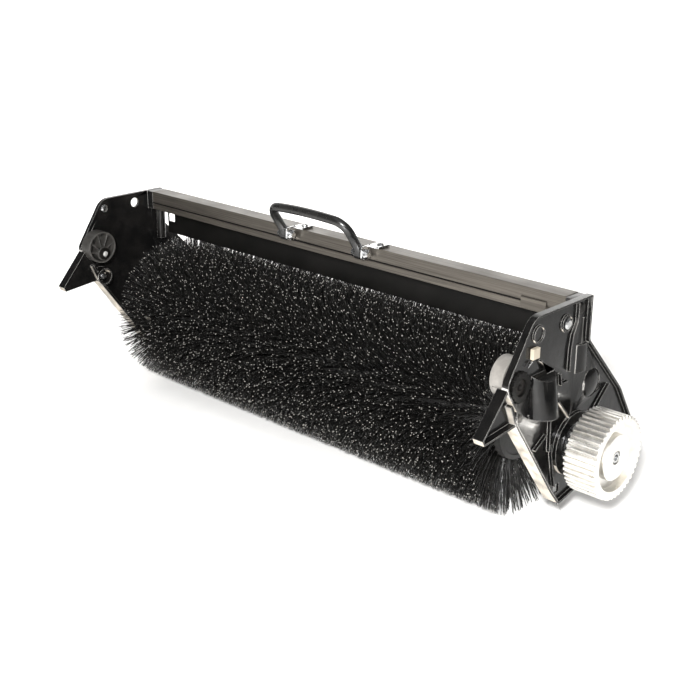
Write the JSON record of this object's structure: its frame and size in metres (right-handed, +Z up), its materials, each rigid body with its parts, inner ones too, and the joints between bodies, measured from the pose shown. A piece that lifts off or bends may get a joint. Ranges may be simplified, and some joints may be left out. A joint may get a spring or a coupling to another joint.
{
  "type": "powered sweeping brush cartridge",
  "caption": "Roller brush between two black end plates on a cross bar, with a toothed drive pulley, a fold-down carry handle and grey turn knobs.",
  "frame": {"origin": "bottom centre of the bounding box, under the brush where it stands on the floor", "axes": "+X along the brush axis towards the drive pulley, +Y to the rear, +Z up"},
  "size_m": [0.5746, 0.2114, 0.2285],
  "materials": {
    "gloss_black_plastic": "moulded, high gloss",
    "black_anodised": "black anodised extrusion, satin",
    "black_sheet": "black powder coat, satin",
    "bristle_nylon": "crimped black nylon filament",
    "dark_plastic": "moulded, matte",
    "grey_plastic": "moulded, fine texture",
    "pale_plastic": "moulded, matte",
    "bright_aluminium": "machined and tumbled",
    "bright_steel": "bright zinc plated",
    "black_rod": "black coated rod, semi gloss"
  },
  "bodies": {
    "frame": {"left_end_plate": "gloss_black_plastic", "right_end_plate": "gloss_black_plastic", "cross_bar": "black_anodised", "groove_strip": "black_sheet", "strip_clip": "black_sheet", "rear_flap": "black_sheet", "flap_rivet_1": "bright_steel", "flap_rivet_2": "bright_steel", "flap_rivet_3": "bright_steel", "flap_rivet_4": "bright_steel", "left_bar_screw": "bright_steel", "right_bar_screw": "bright_steel", "left_bar_plug": "bright_aluminium", "right_bar_plug": "bright_aluminium", "left_knob_rivet": "bright_steel", "right_knob_rivet": "bright_steel", "left_lock_pin": "bright_steel", "right_lock_pin": "bright_steel", "left_bearing_outer": "bright_steel", "right_bearing_outer": "bright_steel", "left_retaining_ring": "bright_steel", "right_retaining_ring": "bright_steel", "left_bearing_cap": "grey_plastic", "left_handle_bracket": "black_sheet", "right_handle_bracket": "black_sheet", "left_bracket_screw": "bright_steel", "right_bracket_screw": "bright_steel", "left_handle_screw": "bright_steel", "right_handle_screw": "bright_steel", "left_handle_nut": "bright_steel", "right_handle_nut": "bright_steel", "detent_block": "pale_plastic", "detent_spring": "bright_steel", "right_plate_screw": "bright_steel", "right_plate_nut": "bright_steel", "left_plate_screw": "bright_steel"},
    "brush": {"brush_core": "dark_plastic", "brush_bristles": "bristle_nylon", "left_hub": "dark_plastic", "right_hub": "dark_plastic", "left_stub_shaft": "bright_steel", "drive_shaft": "bright_steel", "left_bearing_inner": "bright_steel", "right_bearing_inner": "bright_steel", "left_ball_cage": "bright_steel", "right_ball_cage": "bright_steel", "shaft_spacer": "bright_steel", "pulley_key": "bright_steel", "drive_pulley": "bright_aluminium", "pulley_bolt": "bright_steel"},
    "handle": {"carry_handle": "black_rod"},
    "left_knob": {"left_knob": "grey_plastic"},
    "right_knob": {"right_knob": "grey_plastic", "ratchet_wheel": "black_sheet"}
  },
  "joints": [
    {"name": "brush_spin", "type": "hinge", "parent": "frame", "child": "brush", "pos_m": [0, 0.0177, 0.075], "axis": [1, 0, 0], "continuous": true},
    {"name": "handle_fold", "type": "hinge", "parent": "frame", "child": "handle", "pos_m": [-0.01975, 0.0021, 0.192], "axis": [1, 0, 0], "range_deg": [-44, 108]},
    {"name": "left_knob_turn", "type": "hinge", "parent": "frame", "child": "left_knob", "pos_m": [-0.26925, -0.0603, 0.1455], "axis": [1, 0, 0], "range_deg": [-95, 0]},
    {"name": "right_knob_turn", "type": "hinge", "parent": "frame", "child": "right_knob", "pos_m": [0.22975, -0.0603, 0.1455], "axis": [1, 0, 0], "range_deg": [-95, 0]}
  ]
}
